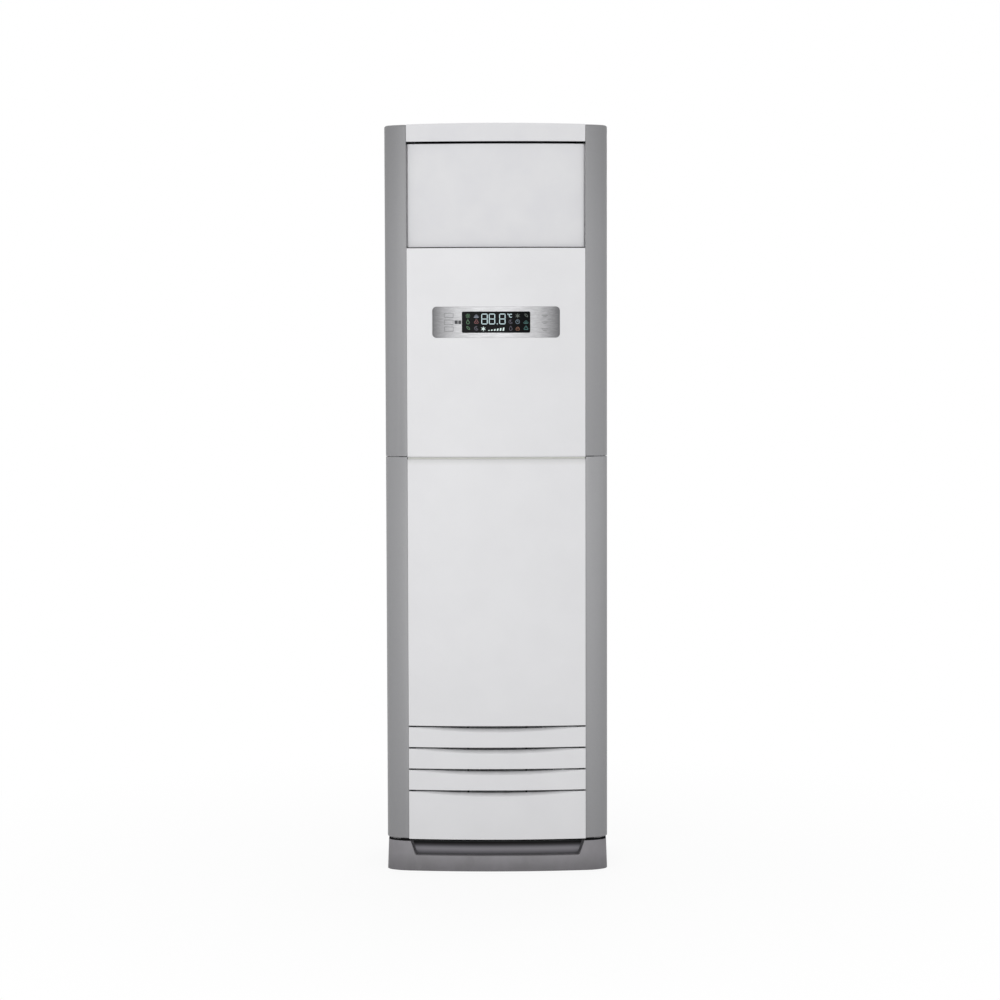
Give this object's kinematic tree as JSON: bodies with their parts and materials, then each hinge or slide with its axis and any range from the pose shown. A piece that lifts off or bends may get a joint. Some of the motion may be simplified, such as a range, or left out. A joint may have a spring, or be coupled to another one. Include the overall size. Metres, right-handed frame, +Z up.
{
  "type": "floor standing air conditioner",
  "caption": "Tall upright air conditioner with a bowed white front, grey corner pillars, a sliding outlet door, swinging blades, a digit display and an intake panel with slits.",
  "frame": {"origin": "centre of the footprint on the floor", "axes": "+Z up; -Y out of the front with the outlet and the display; +X to the right seen from the front"},
  "size_m": [0.505, 0.315, 1.7],
  "materials": {
    "white_plastic": "satin moulded",
    "silver_paint": "satin silver paint over plastic",
    "grey_plastic": "fine moulded grain",
    "white_steel": "smooth powder coat",
    "galvanised_steel": "zinc coated sheet",
    "display_silver": "finely brushed",
    "display_window": "polished, lit from behind",
    "black_plastic": "moulded",
    "circuit_board": "varnished laminate",
    "filter_mesh": "woven nylon",
    "pale_plastic": "moulded",
    "vane_plastic": "moulded",
    "wheel_plastic": "moulded",
    "machined_steel": "turned",
    "motor_steel": "sprayed",
    "aluminium_fins": "rolled foil",
    "copper_tube": "drawn copper, dulled",
    "brass_nuts": "machined",
    "moulded_foam": "beaded foam",
    "drain_hose": "flexible hose",
    "rubber": "moulded"
  },
  "bodies": {
    "cabinet": {"plinth": "grey_plastic", "base_pan": "galvanised_steel", "left_side_panel": "white_steel", "right_side_panel": "white_steel", "upper_back_panel": "galvanised_steel", "lower_back_panel": "galvanised_steel", "top_cover": "white_plastic", "upper_left_pillar": "silver_paint", "upper_right_pillar": "silver_paint", "upper_front_panel": "white_plastic", "outlet_duct": "black_plastic", "door_guides": "pale_plastic", "display_plate": "display_silver", "display_lens": "display_window", "display_housing": "black_plastic", "display_board": "circuit_board", "shelf": "galvanised_steel", "control_box": "galvanised_steel", "control_cover": "galvanised_steel", "control_board": "circuit_board", "terminal_block": "black_plastic", "wall_bracket": "galvanised_steel", "blower_housing": "galvanised_steel", "inlet_ring": "galvanised_steel", "fan_motor": "motor_steel", "motor_bracket": "galvanised_steel", "evaporator_fins": "aluminium_fins", "evaporator_coil": "copper_tube", "evaporator_ends": "galvanised_steel", "refrigerant_pipes": "copper_tube", "flare_nuts": "brass_nuts", "drain_pan": "moulded_foam", "drain_pipe": "drain_hose", "grommets": "rubber", "case_screws": "machined_steel", "door_motor": "motor_steel", "swing_motors": "motor_steel"},
    "door": {"outlet_door": "white_plastic", "door_racks": "pale_plastic"},
    "pinion": {"pinion_shaft": "pale_plastic"},
    "fan": {"blower_wheel": "wheel_plastic", "fan_shaft": "machined_steel"},
    "intake_panel": {"lower_front_panel": "white_plastic", "lower_left_pillar": "silver_paint", "lower_right_pillar": "silver_paint", "filter_frame": "black_plastic", "filter_net": "filter_mesh"},
    "blade_link": {"louvre_link": "pale_plastic"},
    "vane_link": {"vane_link": "pale_plastic"},
    "blade_1": {"louvre_blade_1": "pale_plastic"},
    "blade_2": {"louvre_blade_2": "pale_plastic"},
    "blade_3": {"louvre_blade_3": "pale_plastic"},
    "blade_4": {"louvre_blade_4": "pale_plastic"},
    "blade_5": {"louvre_blade_5": "pale_plastic"},
    "vane_1": {"air_vane_1": "vane_plastic"},
    "vane_2": {"air_vane_2": "vane_plastic"},
    "vane_3": {"air_vane_3": "vane_plastic"},
    "vane_4": {"air_vane_4": "vane_plastic"},
    "vane_5": {"air_vane_5": "vane_plastic"},
    "vane_6": {"air_vane_6": "vane_plastic"}
  },
  "joints": [
    {"name": "door_slide", "type": "slide", "parent": "cabinet", "child": "door", "axis": [0, 0, -1], "range_m": [0, 0.2335]},
    {"name": "pinion_spin", "type": "hinge", "parent": "cabinet", "child": "pinion", "pos_m": [0, -0.1085, 1.41], "axis": [1, 0, 0], "range_deg": [0, 1345]},
    {"name": "fan_spin", "type": "hinge", "parent": "cabinet", "child": "fan", "pos_m": [-0.02, 0, 0.34], "axis": [0, 1, 0], "continuous": true},
    {"name": "intake_panel_slide", "type": "slide", "parent": "cabinet", "child": "intake_panel", "axis": [0, -1, 0], "range_m": [0, 0.08]},
    {"name": "blade_1_pivot", "type": "hinge", "parent": "cabinet", "child": "blade_1", "pos_m": [0, -0.104, 1.447], "axis": [1, 0, 0], "range_deg": [-30, 30]},
    {"name": "blade_2_pivot", "type": "hinge", "parent": "cabinet", "child": "blade_2", "pos_m": [0, -0.104, 1.493], "axis": [1, 0, 0], "range_deg": [-30, 30]},
    {"name": "blade_3_pivot", "type": "hinge", "parent": "cabinet", "child": "blade_3", "pos_m": [0, -0.104, 1.539], "axis": [1, 0, 0], "range_deg": [-30, 30]},
    {"name": "blade_4_pivot", "type": "hinge", "parent": "cabinet", "child": "blade_4", "pos_m": [0, -0.104, 1.585], "axis": [1, 0, 0], "range_deg": [-30, 30]},
    {"name": "blade_5_pivot", "type": "hinge", "parent": "cabinet", "child": "blade_5", "pos_m": [0, -0.104, 1.631], "axis": [1, 0, 0], "range_deg": [-30, 30]},
    {"name": "blade_link_pivot", "type": "hinge", "parent": "blade_3", "child": "blade_link", "pos_m": [0.1715, -0.0835, 1.539], "axis": [1, 0, 0], "range_deg": [-30, 30]},
    {"name": "vane_1_pivot", "type": "hinge", "parent": "cabinet", "child": "vane_1", "pos_m": [-0.15, -0.062, 1.539], "axis": [0, 0, 1], "range_deg": [-35, 35]},
    {"name": "vane_2_pivot", "type": "hinge", "parent": "cabinet", "child": "vane_2", "pos_m": [-0.09, -0.062, 1.539], "axis": [0, 0, 1], "range_deg": [-35, 35]},
    {"name": "vane_3_pivot", "type": "hinge", "parent": "cabinet", "child": "vane_3", "pos_m": [-0.03, -0.062, 1.539], "axis": [0, 0, 1], "range_deg": [-35, 35]},
    {"name": "vane_4_pivot", "type": "hinge", "parent": "cabinet", "child": "vane_4", "pos_m": [0.03, -0.062, 1.539], "axis": [0, 0, 1], "range_deg": [-35, 35]},
    {"name": "vane_5_pivot", "type": "hinge", "parent": "cabinet", "child": "vane_5", "pos_m": [0.09, -0.062, 1.539], "axis": [0, 0, 1], "range_deg": [-35, 35]},
    {"name": "vane_6_pivot", "type": "hinge", "parent": "cabinet", "child": "vane_6", "pos_m": [0.15, -0.062, 1.539], "axis": [0, 0, 1], "range_deg": [-35, 35]},
    {"name": "vane_link_pivot", "type": "hinge", "parent": "vane_6", "child": "vane_link", "pos_m": [0.15, -0.036, 1.4335], "axis": [0, 0, 1], "range_deg": [-35, 35]}
  ],
  "couplings": [
    {"joint": "pinion_spin", "follows": "door_slide", "rad_per_m": 100},
    {"joint": "blade_1_pivot", "follows": "blade_3_pivot", "ratio": 1},
    {"joint": "blade_2_pivot", "follows": "blade_3_pivot", "ratio": 1},
    {"joint": "blade_4_pivot", "follows": "blade_3_pivot", "ratio": 1},
    {"joint": "blade_5_pivot", "follows": "blade_3_pivot", "ratio": 1},
    {"joint": "blade_link_pivot", "follows": "blade_3_pivot", "ratio": -1},
    {"joint": "vane_1_pivot", "follows": "vane_6_pivot", "ratio": 1},
    {"joint": "vane_2_pivot", "follows": "vane_6_pivot", "ratio": 1},
    {"joint": "vane_3_pivot", "follows": "vane_6_pivot", "ratio": 1},
    {"joint": "vane_4_pivot", "follows": "vane_6_pivot", "ratio": 1},
    {"joint": "vane_5_pivot", "follows": "vane_6_pivot", "ratio": 1},
    {"joint": "vane_link_pivot", "follows": "vane_6_pivot", "ratio": -1}
  ]
}
